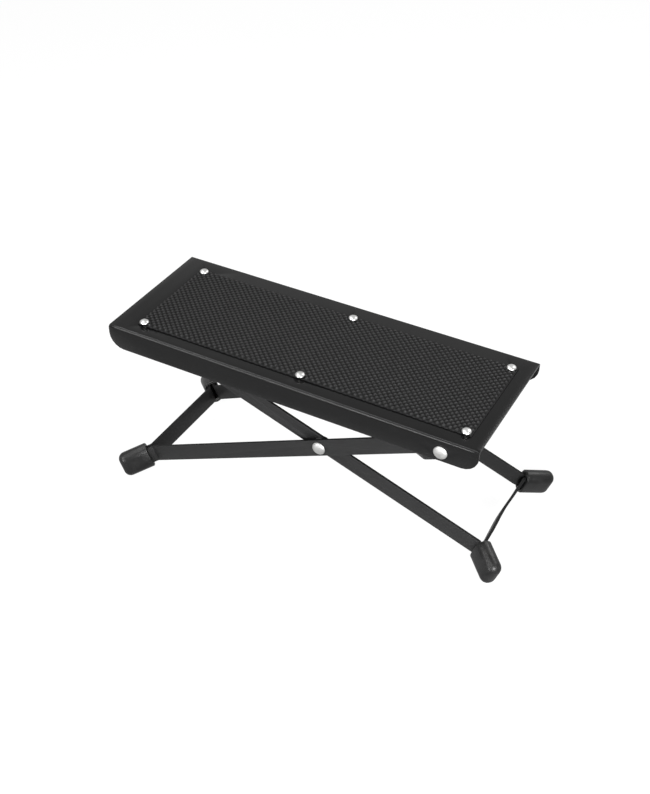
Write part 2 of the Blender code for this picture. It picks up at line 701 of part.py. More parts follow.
def build_locking_frame(axis, coat):
    """The inner U frame, with holes for the scissor rivets and the locking rod."""
    tip = [(-SCISSOR_TO_ROD, -LOCKING_ARM_Y, 0)]
    corners = frame_corners(LOCKING_ARM_Y, LOCKING_FRAME_REACH, LOCKING_CAP_MOUTH, tip)
    frame = solid("locking_leg_frame", strip_frame(corners, -SCISSOR_TO_ROD, 1), coat, axis)
    holes = (
        (0, PIVOT_SHANK_RADIUS + HOLE_CLEARANCE, LOCKING_ARM_Y),
        (-SCISSOR_TO_ROD, ROD_SPIGOT_RADIUS + HOLE_CLEARANCE, LOCKING_ARM_Y),
    )
    bore_across(frame, "locking_leg_frame_holes", holes, axis)


def build_locking_rod(axis, zinc):
    """The rod between the locking frame's upper ends, headed over outside the arms."""
    shoulder = LOCKING_ARM_Y - STRIP_HALF - SEAT_GAP
    head = LOCKING_ARM_Y + STRIP_HALF + SEAT_GAP
    half_profile = [
        (0, head + ROD_HEAD_THICKNESS),
        (ROD_HEAD_RADIUS - ROD_HEAD_THICKNESS / 2, head + ROD_HEAD_THICKNESS),
        (ROD_HEAD_RADIUS, head + ROD_HEAD_THICKNESS / 2),
        (ROD_HEAD_RADIUS, head),
        (ROD_SPIGOT_RADIUS, head),
        (ROD_SPIGOT_RADIUS, shoulder),
        (ROD_RADIUS, shoulder),
    ]
    profile = [(radius, -height) for radius, height in half_profile] + half_profile[::-1]
    bm = lathe(bmesh.new(), profile, ROUND_SIDES)
    solid("locking_rod", bm, zinc, axis, (-SCISSOR_TO_ROD, 0, 0), (SIDEWAYS_TURN, 0, 0))


def build_scissor_rivets(hinged_axis, locking_axis, zinc):
    """Rivets where the frames cross, with a spacer between the strips and a washer inside."""
    head_y = HINGED_ARM_Y + STRIP_HALF
    spacer_y = HINGED_ARM_Y - STRIP_HALF - SEAT_GAP - SPACER_THICKNESS / 2
    washer_y = LOCKING_ARM_Y - STRIP_HALF - SEAT_GAP - WASHER_THICKNESS / 2
    grip = head_y - (washer_y - WASHER_THICKNESS / 2)
    bore = PIVOT_SHANK_RADIUS + HOLE_CLEARANCE
    sideways_pieces("scissor_rivet", lambda: pivot_rivet(grip), head_y, hinged_axis, zinc)
    sideways_pieces(
        "scissor_spacer", lambda: washer(SPACER_RADIUS, bore, SPACER_THICKNESS), spacer_y, hinged_axis, zinc)
    sideways_pieces(
        "scissor_washer", lambda: washer(WASHER_RADIUS, bore, WASHER_THICKNESS), washer_y, locking_axis, zinc)


def build_caps(frame_name, axis, arm_y, reach, cap_mouth, foot_sign, slope, rubber):
    """Two rubber caps on a frame's ears, each with its own flat on the floor."""
    frame_down = Matrix.Rotation(-slope, 3, "Y") @ -UP
    for side_name, side in SIDES:
        placing = cap_placing(arm_y, reach, cap_mouth, foot_sign, side)
        down = placing.to_3x3().transposed() @ frame_down
        cap = solid(f"{frame_name}_foot_cap_{side_name}", cap_solid(down), rubber, axis)
        cap.matrix_local = placing


def stand_on_floor(stance):
    """Move the whole part so that its lowest point is at zero and its middle over the origin."""
    bpy.context.view_layer.update()
    corners = [
        piece.matrix_world @ vert.co
        for piece in bpy.data.objects
        if piece.type == "MESH" and not piece.hide_render
        for vert in piece.data.vertices
    ]
    lowest = min(corner.z for corner in corners)
    left = min(corner.x for corner in corners)
    right = max(corner.x for corner in corners)
    stance.location = (-(left + right) / 2, 0, -lowest)
    bpy.context.view_layer.update()


def build():
    """Build every piece under the axes that carry it."""
    clear_scene()
    coat = finish_material("black_powder_coat", (0.035, 0.035, 0.036), 0.42)
    mat_rubber = finish_material("mat_rubber", (0.045, 0.045, 0.046), 0.75)
    cap_rubber = finish_material("cap_rubber", (0.05, 0.05, 0.052), 0.5)
    zinc = finish_material("bright_zinc", (0.75, 0.75, 0.76), 0.25, 1.0)

    tilt = stance_tilt()
    stance = axis_empty("stance", turn_y=tilt)
    arm = Vector((math.cos(HINGED_ANGLE), 0, math.sin(HINGED_ANGLE)))
    scissor = Vector((HINGE_X, 0, -AXIS_DEPTH)) - arm * HINGE_TO_SCISSOR
    hinged_axis = axis_empty("hinged_frame_axis", stance, scissor, -HINGED_ANGLE)
    locking_axis = axis_empty("scissor_axis", hinged_axis, turn_y=HINGED_ANGLE + LOCKING_ANGLE)
    hinge = axis_empty("platform_hinge_axis", hinged_axis, (HINGE_TO_SCISSOR, 0, 0), HINGED_ANGLE)

    build_platform(hinge, coat)
    build_mat(hinge, mat_rubber)
    build_mat_rivets(hinge, zinc)
    build_rack(hinge, coat)
    build_rack_rivets(hinge, zinc)
    build_hinge_rivets(hinge, zinc)
    build_hinged_frame(hinged_axis, coat)
    build_locking_frame(locking_axis, coat)
    build_locking_rod(locking_axis, zinc)
    build_scissor_rivets(hinged_axis, locking_axis, zinc)
    build_caps(
        "hinged", hinged_axis, HINGED_ARM_Y, HINGED_FRAME_REACH, HINGED_CAP_MOUTH, -1,
        tilt - HINGED_ANGLE, cap_rubber)
    build_caps(
        "locking", locking_axis, LOCKING_ARM_Y, LOCKING_FRAME_REACH, LOCKING_CAP_MOUTH, 1,
        tilt + LOCKING_ANGLE, cap_rubber)
    stand_on_floor(stance)


build()
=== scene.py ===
# %% [markdown]
# # A folding guitar footrest
# A sheet steel platform with a rubber mat stands on two crossed frames of bent flat steel.
# The measured solids come in first, as a frame that is never moved.  Every visible piece is
# then made on top of them, so its place and size are known before its looks are worked on.
# Lengths are in metres.

# %% Load the measured frame
import json
import math

import bpy
from mathutils import Matrix, Vector

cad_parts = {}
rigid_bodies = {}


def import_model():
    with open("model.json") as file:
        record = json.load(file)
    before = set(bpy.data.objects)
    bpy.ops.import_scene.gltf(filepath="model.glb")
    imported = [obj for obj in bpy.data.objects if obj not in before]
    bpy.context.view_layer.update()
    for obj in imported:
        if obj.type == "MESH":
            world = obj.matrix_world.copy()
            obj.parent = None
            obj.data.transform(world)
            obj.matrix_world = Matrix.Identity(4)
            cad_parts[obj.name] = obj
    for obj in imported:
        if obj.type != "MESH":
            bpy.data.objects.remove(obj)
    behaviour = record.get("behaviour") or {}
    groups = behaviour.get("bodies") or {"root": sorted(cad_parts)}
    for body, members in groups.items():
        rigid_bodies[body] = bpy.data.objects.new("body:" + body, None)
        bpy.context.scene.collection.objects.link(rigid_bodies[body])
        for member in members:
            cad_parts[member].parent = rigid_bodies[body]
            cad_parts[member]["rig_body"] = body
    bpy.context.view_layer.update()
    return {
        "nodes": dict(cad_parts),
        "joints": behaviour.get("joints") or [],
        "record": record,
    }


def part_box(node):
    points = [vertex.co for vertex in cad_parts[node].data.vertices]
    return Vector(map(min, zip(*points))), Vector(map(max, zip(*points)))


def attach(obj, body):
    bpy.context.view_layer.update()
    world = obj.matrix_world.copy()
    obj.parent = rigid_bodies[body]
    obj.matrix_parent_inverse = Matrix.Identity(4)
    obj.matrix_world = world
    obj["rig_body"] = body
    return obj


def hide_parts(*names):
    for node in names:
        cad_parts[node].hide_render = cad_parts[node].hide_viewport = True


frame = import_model()

# %% [markdown]
# ## Camera
# The camera stands on the near right and looks down at the platform.  Its place was worked out
# from corners whose real places are known.  Its three axes are written as directions in the
# room: right, down and forward.  Blender's camera looks along its own -Z, so two are negated.

# %% Camera
CAMERA_PLACE = Vector((0.375108, -0.618582, 0.597959))
CAMERA_RIGHT = Vector((0.876062, 0.477649, -0.066085))
CAMERA_DOWN = Vector((0.231744, -0.537246, -0.810963))
CAMERA_FORWARD = Vector((-0.422860, 0.695139, -0.581353))
FOCAL_PIXELS = 1171.2        # on the picture's long side of 794
PICTURE_LONG_SIDE = 794
SENSOR = 36.0                # millimetres along that side
NEAREST_DRAWN = 0.01

bpy.ops.object.camera_add()
camera = bpy.context.object
camera.name = "camera"
turned = Matrix((CAMERA_RIGHT, -CAMERA_DOWN, -CAMERA_FORWARD)).transposed()
camera.matrix_world = Matrix.Translation(CAMERA_PLACE) @ turned.to_4x4()
camera.data.sensor_width = SENSOR
camera.data.lens = FOCAL_PIXELS / PICTURE_LONG_SIDE * SENSOR
camera.data.clip_start = NEAREST_DRAWN
bpy.context.scene.camera = camera
print("camera lens", round(camera.data.lens, 2), "mm")

# %% [markdown]
# ## Node trees
# The floor, the world and every finish are trees of nodes.  In the node editor, an input is
# either typed in or joined to the output of another node.  These helpers take both kinds, so
# that a tree is about as short in code as it looks on the screen.


# %% Node helpers
def node(tree, kind, **settings):
    """Add a node with these settings."""
    made = tree.nodes.new(kind)
    for key, value in settings.items():
        setattr(made, key, value)
    return made


def plug(tree, socket, value):
    """Give an input a number, a colour of three numbers, or another node's output."""
    if isinstance(value, bpy.types.NodeSocket):
        tree.links.new(value, socket)
    elif isinstance(value, tuple):
        socket.default_value = (*value, 1)
    else:
        socket.default_value = value


def feed(tree, made, **values):
    """Plug values into a node's inputs by their names, with _ for a space."""
    for key, value in values.items():
        plug(tree, made.inputs[key.replace("_", " ")], value)
    return made


def math_node(tree, operation, *values):
    """The output of a math node."""
    made = node(tree, "ShaderNodeMath", operation=operation)
    for socket, value in zip(made.inputs, values):
        plug(tree, socket, value)
    return made.outputs[0]


# %% Trees of the floor and the world
def emptied_tree(holder):
    """The node tree of a material or a world, with nothing in it."""
    holder.use_nodes = True
    holder.node_tree.nodes.clear()
    return holder.node_tree


def show_mixed(tree, output_kind, share, first, second):
    """Mix two shaders by the second one's share, and send them to the tree's output."""
    both = node(tree, "ShaderNodeMixShader")
    for socket, value in zip(both.inputs, (share, first.outputs[0], second.outputs[0])):
        plug(tree, socket, value)
    feed(tree, node(tree, output_kind), Surface=both.outputs[0])


# %% [markdown]
# ## Floor
# The object was photographed for a catalogue, on a white floor with hardly any shadow.  Black
# paint that mirrors a floor as white as that would look grey.  So the floor glows white for
# the camera, and dimmer in a reflection.  For all other light it is plain matt paint.  A
# little of that paint also shows to the camera, and with it the object's faint shadow.

# %% Floor
FLOOR_SIDE = 6.0
FLOOR_PAINT = (0.86, 0.86, 0.86)
GLOW_SHARE = 0.86            # how much of the floor that the camera sees is plain white
GLOW_SEEN = 1.1              # how bright that white is for the camera
GLOW_REFLECTED = 0.62        # and how bright the floor is in a reflection
bpy.ops.object.select_all(action="DESELECT")
bpy.ops.mesh.primitive_plane_add(size=FLOOR_SIDE, location=(0, 0, 0))
floor = bpy.context.object
floor.name = "studio_floor"

floor_white = bpy.data.materials.new("studio_floor_white")
tree = emptied_tree(floor_white)
ray = node(tree, "ShaderNodeLightPath")
mirrored = ray.outputs["Is Glossy Ray"]
seen = math_node(tree, "MULTIPLY", ray.outputs["Is Camera Ray"], GLOW_SHARE)
strength = math_node(tree, "MULTIPLY_ADD", mirrored, GLOW_REFLECTED - GLOW_SEEN, GLOW_SEEN)
matt = feed(tree, node(tree, "ShaderNodeBsdfDiffuse"), Color=FLOOR_PAINT)
glow = feed(tree, node(tree, "ShaderNodeEmission"), Strength=strength)
show_mixed(tree, "ShaderNodeOutputMaterial", math_node(tree, "ADD", mirrored, seen), matt, glow)
floor.data.materials.append(floor_white)
print("floor", FLOOR_SIDE, "m wide")

# %% [markdown]
# ## World
# The world is all that lies beyond the floor.  The camera sees it white, as it sees the floor.
# It adds very little light of its own, because light from all sides would wash out the black
# paint, but it is pale in a reflection, so that steel and zinc have a bright room to mirror.

# %% World
WORLD_LIGHT = 0.05           # what the world adds to matt surfaces
WORLD_REFLECTED = 0.70       # how bright it is in a reflection
WORLD_GREY = (0.8, 0.8, 0.8)
WORLD_SEEN = (1, 1, 1)
world = bpy.data.worlds.new("studio")
bpy.context.scene.world = world
tree = emptied_tree(world)
ray = node(tree, "ShaderNodeLightPath")
strength = math_node(tree, "MULTIPLY_ADD", ray.outputs["Is Glossy Ray"],
                     WORLD_REFLECTED - WORLD_LIGHT, WORLD_LIGHT)
seen = math_node(tree, "MAXIMUM", ray.outputs["Is Camera Ray"],
                 ray.outputs["Is Transmission Ray"])
grey = feed(tree, node(tree, "ShaderNodeBackground"), Color=WORLD_GREY, Strength=strength)
white = feed(tree, node(tree, "ShaderNodeBackground"), Color=WORLD_SEEN, Strength=1.0)
show_mixed(tree, "ShaderNodeOutputWorld", seen, grey, white)
bpy.context.scene.view_settings.view_transform = "Standard"
print("world light", WORLD_LIGHT, "reflected", WORLD_REFLECTED)

# %% [markdown]
# ## Lamps
# The platform's near bend shows two long bright lines.  A bend is a narrow curved mirror, so
# such a line is the picture of a long narrow lamp.  One lamp runs over the platform and one
# before it, each where that bend mirrors it, and a short one carries on low in front.  Soft
# boxes open the near right and the back.  A lamp is given by its two ends, as a tube is hung,
# and is then turned to face the middle of the bend.

# %% Lamps
AIM = Vector((0.0, -0.055, 0.13))    # the middle of the platform's near bend


def studio_lamp(name, start, end, width, power):
    """A rectangular lamp that reaches from one point to another and faces the object."""
    start, end = Vector(start), Vector(end)
    middle = (start + end) / 2
    away = (middle - AIM).normalized()
    along = (end - start) - (end - start).dot(away) * away
    along.normalize()
    bpy.ops.object.light_add(type="AREA", location=middle)
    lamp = bpy.context.object
    lamp.name = name
    lamp.data.shape = "RECTANGLE"
    lamp.data.size = (end - start).length
    lamp.data.size_y = width
    lamp.data.energy = power
    lamp.rotation_euler = Matrix((along, away.cross(along), away)).transposed().to_euler()


# each has a name, its two ends, its width and its watts
LAMPS = [("strip_over_bend", (-0.96, 0.545, 1.298), (0.40, -1.215, 1.442), 0.17, 10.0),
         ("strip_before_bend", (-1.05, -0.74, 1.36), (-0.16, -1.50, 0.05), 0.22, 11.0),
         ("strip_low_front", (-0.50, -1.42, 0.13), (-0.10, -1.42, 0.13), 0.20, 4.4),
         ("box_near_right", (0.325, -0.4, 0.25), (0.575, -0.4, 0.25), 0.25, 4.8),
         ("box_back_right", (0.3, 0.9, 1.0), (0.8, 0.9, 1.0), 0.5, 5.2),
         ("box_back_left", (-0.6, 0.75, 0.75), (-0.1, 0.75, 0.75), 0.5, 0.04)]
for entry in LAMPS:
    studio_lamp(*entry)
print("lamps:", [entry[0] for entry in LAMPS])

# %% [markdown]
# ## Working by hand in code
# Every new piece below is modelled as it would be by hand: a primitive is added, shaped in
# edit mode, and finished with modifiers.  An operator works on all that is selected, so these
# small helpers select one object, or the parts of it that a rule picks out.


# %% Selecting
def only(obj):
    """Select this object alone, in object mode, and make it active."""
    if bpy.context.object and bpy.context.object.mode != "OBJECT":
        bpy.ops.object.mode_set(mode="OBJECT")
    bpy.ops.object.select_all(action="DESELECT")
    obj.select_set(True)
    bpy.context.view_layer.objects.active = obj


def edit(obj, mode="FACE"):
    """Open an object in edit mode with nothing selected."""
    only(obj)
    bpy.ops.object.mode_set(mode="EDIT")
    bpy.ops.mesh.select_mode(type=mode)
    bpy.ops.mesh.select_all(action="DESELECT")


def pick(obj, kind, rule):
    """In edit mode, select vertices by their place, or faces by their normal."""
    bpy.ops.object.mode_set(mode="OBJECT")
    mesh = obj.data
    for group in (mesh.vertices, mesh.edges, mesh.polygons):
        group.foreach_set("select", [False] * len(group))
    if kind == "VERT":
        chosen = [vertex for vertex in mesh.vertices if rule(vertex.co)]
    else:
        chosen = [face for face in mesh.polygons if rule(face.normal)]
    for item in chosen:
        item.select = True
    bpy.ops.object.mode_set(mode="EDIT")
    bpy.ops.mesh.select_mode(type=kind)
    return len(chosen)


# %% Shaping
def cut(place, normal, **settings):
    """In edit mode, cut the whole mesh along a plane."""
    bpy.ops.mesh.select_all(action="SELECT")
    bpy.ops.mesh.bisect(plane_co=place, plane_no=normal, **settings)


def settle(obj):
    """Write the object's place and turn into its mesh."""
    only(obj)
    bpy.ops.object.transform_apply(location=True, rotation=True, scale=True)


def finish_with(obj, kind, **settings):
    """Add a modifier with these settings and apply it."""
    only(obj)
    modifier = obj.modifiers.new(kind.lower(), kind)
    for key, value in settings.items():
        setattr(modifier, key, value)
    bpy.ops.object.modifier_apply(modifier=modifier.name)


def smooth_below(obj, degrees):
    """Shade smooth wherever two faces turn by less than this."""
    only(obj)
    bpy.ops.object.shade_smooth_by_angle(angle=math.radians(degrees))


# %% [markdown]
# ## The platform's own directions
# The platform stands a few degrees off level, so a piece on it is modelled lying flat, with X
# along the platform from its open end and Z = 0 on its top, and is then tilted into place.
# The tilt is read from the record's tread, and the hinge is where the record's joint has it.

# %% From the flat platform to the room
HINGE_ALONG = 0.2728         # hinge from the open end
HINGE_BELOW = 0.0112         # hinge axis below the platform's top
hinge = Vector(next(j["pos_m"] for j in frame["joints"] if j["name"] == "platform_fold"))
tread = next(m for m in frame["record"]["mounts"] if m["name"] == "tread")
tilt = math.atan2(tread["axis"][0], tread["axis"][2])
platform_place = (Matrix.Translation(hinge) @ Matrix.Rotation(tilt, 4, "Y")
                  @ Matrix.Translation((-HINGE_ALONG, 0, HINGE_BELOW)))


def onto_platform(obj):
    """Tilt a piece that was modelled on the flat platform into its real place."""
    obj.matrix_world = platform_place @ obj.matrix_world
    settle(obj)
    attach(obj, "platform")


print("platform falls", round(math.degrees(tilt), 2), "degrees")

# %% [markdown]
# ## Effects that several finishes share
# Paint, rubber and zinc all show the same few effects at different strengths: a fine grain, a
# broad unevenness of tone, worn edges, and dust on what faces up.  Each is a node group with
# its own inputs, built once and placed in each finish.  A group gives out only masks and
# heights, and the shader stays in the material, because the export can't read it in a group.


# %% Node group tools
def new_group(name, inputs, outputs):
    """A shader node group with float sockets, its input and its output node."""
    group = bpy.data.node_groups.new(name, "ShaderNodeTree")
    sockets = group.interface
    for socket_name, value in inputs:
        socket = sockets.new_socket(socket_name, in_out="INPUT", socket_type="NodeSocketFloat")
        socket.default_value = value
    for socket_name in outputs:
        sockets.new_socket(socket_name, in_out="OUTPUT", socket_type="NodeSocketFloat")
    return group, node(group, "NodeGroupInput"), node(group, "NodeGroupOutput")


def place_group(tree, group, **values):
    """A node group in a material, with its own values."""
    return feed(tree, node(tree, "ShaderNodeGroup", node_tree=group), **values)


def noise_node(tree, place, scale, detail, roughness):
    """The output of a noise texture."""
    made = node(tree, "ShaderNodeTexNoise")
    feed(tree, made, Vector=place, Scale=scale, Detail=detail, Roughness=roughness)
    return made.outputs["Fac"]


# %% Grain: fine bumps and a broad unevenness of tone
CELL_HEIGHT = 0.5            # how much the round cells add to the noise of the bumps
grain, given, gives = new_group(
    "surface_grain", [("Fine Scale", 900.0), ("Broad Scale", 18.0)], ["Height", "Tone"])
place = node(grain, "ShaderNodeTexCoord").outputs["Object"]
fine = noise_node(grain, place, given.outputs["Fine Scale"], detail=2.0, roughness=0.55)
broad = noise_node(grain, place, given.outputs["Broad Scale"], detail=3.0, roughness=0.6)
cells = feed(grain, node(grain, "ShaderNodeTexVoronoi", feature="F1"),
             Vector=place, Scale=given.outputs["Fine Scale"])
bumps = math_node(grain, "MULTIPLY_ADD", cells.outputs["Distance"], CELL_HEIGHT, fine)
feed(grain, gives, Height=bumps, Tone=broad)
print("group", grain.name)

# %% Edge wear: a mask of the edges, broken up by noise
WEAR_REACH = 0.0006          # how far from an edge the wear goes
WEAR_GAIN = 5.0              # how small a turn of the surface already counts as an edge
PATCH_GAIN = 1.6             # these two stretch the noise, so that parts of an edge stay whole
PATCH_SHIFT = -0.3
edge_wear, given, gives = new_group(
    "edge_wear", [("Break Up", 220.0), ("Amount", 1.0)], ["Mask"])
rounded = feed(edge_wear, node(edge_wear, "ShaderNodeBevel", samples=4), Radius=WEAR_REACH)
real = node(edge_wear, "ShaderNodeNewGeometry")
turn = node(edge_wear, "ShaderNodeVectorMath", operation="DOT_PRODUCT")
plug(edge_wear, turn.inputs[0], rounded.outputs["Normal"])
plug(edge_wear, turn.inputs[1], real.outputs["Normal"])
bend = math_node(edge_wear, "SUBTRACT", 1.0, turn.outputs["Value"])
bend = math_node(edge_wear, "MULTIPLY", bend, WEAR_GAIN)
place = node(edge_wear, "ShaderNodeTexCoord").outputs["Object"]
patchy = noise_node(edge_wear, place, given.outputs["Break Up"], detail=3.0, roughness=0.6)
patchy = math_node(edge_wear, "MULTIPLY_ADD", patchy, PATCH_GAIN, PATCH_SHIFT)
worn = math_node(edge_wear, "MULTIPLY", math_node(edge_wear, "MINIMUM", bend, 1.0), patchy)
worn = math_node(edge_wear, "MULTIPLY", worn, given.outputs["Amount"])
worn = math_node(edge_wear, "MINIMUM", math_node(edge_wear, "MAXIMUM", worn, 0.0), 1.0)
feed(edge_wear, gives, Mask=worn)
print("group", edge_wear.name)

# %% Dust: what settles on faces that look up
SLOPE_POWER = 3.0            # how soon dust slides off a slope
PATCH_POWER = 2.0            # how much it gathers in patches
dust, given, gives = new_group("dust", [("Amount", 0.3), ("Scale", 60.0)], ["Mask"])
facing = node(dust, "ShaderNodeNewGeometry")
up = feed(dust, node(dust, "ShaderNodeSeparateXYZ"), Vector=facing.outputs["Normal"])
place = node(dust, "ShaderNodeTexCoord").outputs["Object"]
patch = noise_node(dust, place, given.outputs["Scale"], detail=5.0, roughness=0.65)
level = math_node(dust, "MAXIMUM", up.outputs["Z"], 0.0)
lies = math_node(dust, "MULTIPLY", math_node(dust, "POWER", level, SLOPE_POWER),
                 math_node(dust, "POWER", patch, PATCH_POWER))
lies = math_node(dust, "MULTIPLY", lies, given.outputs["Amount"])
feed(dust, gives, Mask=lies)
print("group", dust.name)

# %% [markdown]
# ## Finishes
# A material starts from one dark and one light colour.  The masks of the groups mix between
# them, and the same masks move the roughness and the height, so that colour, gloss and relief
# agree with one another.  A scale is about how many grains or patches there are to a metre.

# %% Material tools
MIX_INPUTS = (0, 6, 7)       # the mask and the two colours of a Mix node for colours
MIX_RESULT = 2


def colour_mix(tree, mask, first, second):
    """Mix two colours by a mask.  Each is an output or three numbers."""
    made = node(tree, "ShaderNodeMix", data_type="RGBA")
    for index, value in zip(MIX_INPUTS, (mask, first, second)):
        plug(tree, made.inputs[index], value)
    return made.outputs[MIX_RESULT]


def stretch(tree, value, low, high):
    """Map 0..1 to low..high."""
    made = feed(tree, node(tree, "ShaderNodeMapRange"), Value=value, To_Min=low, To_Max=high)
    return made.outputs["Result"]


def new_finish(name):
    """A material with a Principled shader, its node tree and that shader."""
    material = bpy.data.materials.new(name)
    material.use_nodes = True
    return material, material.node_tree, material.node_tree.nodes["Principled BSDF"]


def relief(tree, shader, height, distance):
    """Turn a height into small bumps on the shader, as deep as the distance."""
    bump = node(tree, "ShaderNodeBump")
    feed(tree, bump, Height=height, Distance=distance, Strength=1.0)
    feed(tree, shader, Normal=bump.outputs["Normal"])


# %% [markdown]
# ## Black powder coat
# Powder coat is dry paint, blown onto the steel as dust and melted in an oven.  It is tough
# and even, with a fine orange peel, and it goes pale where an edge is rubbed or dust lies.
# The platform's coat is glossier than the frames', and the sheared edges of their strip are
# the dullest, so one function makes three coats.  The colours are nearly black, because most
# of what the eye sees on such paint is the room in it.

# %% Powder coat, on the platform, the frames and the frames' edges
WORN_PAINT = (0.060, 0.060, 0.062)
GREY_DUST = (0.045, 0.044, 0.042)


def powder_coat(name, dark, light, rough, shine=0.3):
    """Black powder coat: a fine orange peel, pale worn edges and a little dust."""
    material, tree, shader = new_finish(name)
    peel = place_group(tree, grain, Fine_Scale=1500.0, Broad_Scale=22.0)
    wear = place_group(tree, edge_wear, Break_Up=260.0, Amount=0.5)
    settled = place_group(tree, dust, Amount=0.12, Scale=55.0)
    colour = colour_mix(tree, peel.outputs["Tone"], dark, light)
    colour = colour_mix(tree, wear.outputs["Mask"], colour, WORN_PAINT)
    colour = colour_mix(tree, settled.outputs["Mask"], colour, GREY_DUST)
    feed(tree, shader, Base_Color=colour, Specular_IOR_Level=shine,
         Roughness=stretch(tree, peel.outputs["Tone"], *rough))
    relief(tree, shader, peel.outputs["Height"], distance=0.00004)
    return material


platform_coat = powder_coat("platform_powder_coat", dark=(0.0024, 0.0024, 0.0025),
                            light=(0.0042, 0.0042, 0.0043), rough=(0.21, 0.24))
frame_coat = powder_coat("frame_powder_coat", dark=(0.0098, 0.0098, 0.0100),
                         light=(0.0160, 0.0160, 0.0163), rough=(0.36, 0.48))
# the strip's narrow edge faces: a darker colour and rougher than the frames' broad faces
frame_edge_coat = powder_coat("frame_edge_powder_coat", dark=(0.0050, 0.0050, 0.0051),
                              light=(0.0092, 0.0092, 0.0094), rough=(0.55, 0.68), shine=0.15)
print("finishes", platform_coat.name, frame_coat.name, frame_edge_coat.name)

# %% [markdown]
# ## Mat rubber
# The tread mat is black rubber with a moulded weave.  Shoes rub the crests of the weave to a
# soft shine, while its pits stay dull, and the pits are painted darker as shade that falls
# into them.  A noise doesn't know where a crest is, so the mat's mesh carries its own relief,
# 0 in a pit and 1 on a crest, and this finish reads it.

# %% Mat rubber
# painted shade: a near-black colour for the shade that falls into the weave's pits
PAINTED_PIT_SHADE = (0.0012, 0.0012, 0.0012)
MAT_DARK = (0.0105, 0.0105, 0.0108)
MAT_LIGHT = (0.0185, 0.0185, 0.0189)
PIT_ROUGH, CREST_ROUGH = 0.8, 0.5
CREST_RUB = 0.8              # how much of a shiny coat the rubbed crests have
mat_rubber, tree, shader = new_finish("mat_rubber")
skin = place_group(tree, grain, Fine_Scale=2200.0, Broad_Scale=30.0)
settled = place_group(tree, dust, Amount=0.22, Scale=90.0)
raised = node(tree, "ShaderNodeAttribute", attribute_name="relief",
              attribute_type="GEOMETRY").outputs["Fac"]
lens = math_node(tree, "POWER", raised, 2.0)
crest = math_node(tree, "POWER", raised, 3.0)
colour = colour_mix(tree, skin.outputs["Tone"], MAT_DARK, MAT_LIGHT)
colour = colour_mix(tree, settled.outputs["Mask"], colour, GREY_DUST)
# painted shade: the low parts of the relief take the near-black pit colour
colour = colour_mix(tree, lens, PAINTED_PIT_SHADE, colour)
feed(tree, shader, Base_Color=colour, Specular_IOR_Level=0.2,
     Roughness=stretch(tree, lens, PIT_ROUGH, CREST_ROUGH),
     Coat_Weight=math_node(tree, "MULTIPLY", crest, CREST_RUB), Coat_Roughness=0.25)
relief(tree, shader, skin.outputs["Height"], distance=0.00006)
print("finish", mat_rubber.name)

# %% [markdown]
# ## Cap rubber
# The foot caps are moulded rubber that stands on the floor.  They are mottled black and grey,
# scuffed at their edges, and hold more dust than the paint does.  The same grain group makes
# the mottling, at a finer scale than on paint, and stretched so that the two colours part.

# %% Cap rubber
CAP_DARK = (0.0014, 0.0014, 0.0015)
CAP_LIGHT = (0.0095, 0.0095, 0.0097)
CAP_SCUFF = (0.075, 0.074, 0.072)
CAP_DUST = (0.10, 0.098, 0.093)
CAP_ROUGH = (0.24, 0.46)
MOTTLE = (-0.9, 1.9)         # past 0 and 1, so that each colour has patches of its own
cap_rubber, tree, shader = new_finish("cap_rubber")
skin = place_group(tree, grain, Fine_Scale=1300.0, Broad_Scale=130.0)
scuffed = place_group(tree, edge_wear, Break_Up=320.0, Amount=0.4)
settled = place_group(tree, dust, Amount=0.4, Scale=120.0)
colour = colour_mix(tree, stretch(tree, skin.outputs["Tone"], *MOTTLE), CAP_DARK, CAP_LIGHT)
colour = colour_mix(tree, scuffed.outputs["Mask"], colour, CAP_SCUFF)
colour = colour_mix(tree, settled.outputs["Mask"], colour, CAP_DUST)
feed(tree, shader, Base_Color=colour, Specular_IOR_Level=0.38,
     Roughness=stretch(tree, skin.outputs["Tone"], *CAP_ROUGH))
relief(tree, shader, skin.outputs["Height"], distance=0.00010)
print("finish", cap_rubber.name)

# %% [markdown]
# ## Zinc plate
# Rivets, washers, spacers and the locking rod are steel with a thin skin of zinc.  That is a
# metal, so its colour is what it reflects.  The small parts are bright, and the larger pivots
# and the rod, which rub where they turn and slide, are duller.  Both have a cloudy tone and
# brighter edges, so one function makes both.

# %% Zinc, on the small parts and on the larger pivots
ZINC_EDGE = (0.95, 0.95, 0.94)


def zinc_plate(name, dull, bright, rough):
    """Zinc plate: metal with a fine grain, a broad unevenness and brighter edges."""
    material, tree, shader = new_finish(name)
    skin = place_group(tree, grain, Fine_Scale=2400.0, Broad_Scale=260.0)
    scuffed = place_group(tree, edge_wear, Break_Up=500.0, Amount=0.5)
    colour = colour_mix(tree, skin.outputs["Tone"], dull, bright)
    colour = colour_mix(tree, scuffed.outputs["Mask"], colour, ZINC_EDGE)
    feed(tree, shader, Base_Color=colour, Metallic=1.0,
         Roughness=stretch(tree, skin.outputs["Tone"], *rough))
    relief(tree, shader, skin.outputs["Height"], distance=0.00002)
    return material


bright_zinc = zinc_plate("bright_zinc", dull=(0.62, 0.62, 0.61), bright=(0.80, 0.80, 0.79),
                         rough=(0.30, 0.42))
pivot_zinc = zinc_plate("pivot_zinc", dull=(0.42, 0.42, 0.415), bright=(0.64, 0.64, 0.63),
                        rough=(0.48, 0.60))
print("finishes", bright_zinc.name, pivot_zinc.name)


# %% Giving a piece its finish
def dress(obj, finish):
    """Give a piece its finish."""
    obj.data.materials.clear()
    obj.data.materials.append(finish)


# %% [markdown]
# ## Painted steel
# The platform, the rack and the two frames are pressed and bent steel under black powder coat.
# The measured solids have the right shapes with sharp edges, but a coated sheet has none: the
# powder flows round each edge and rounds it.  A merged copy of each solid gets a small bevel,
# so that its edges catch the light as thin bright lines.

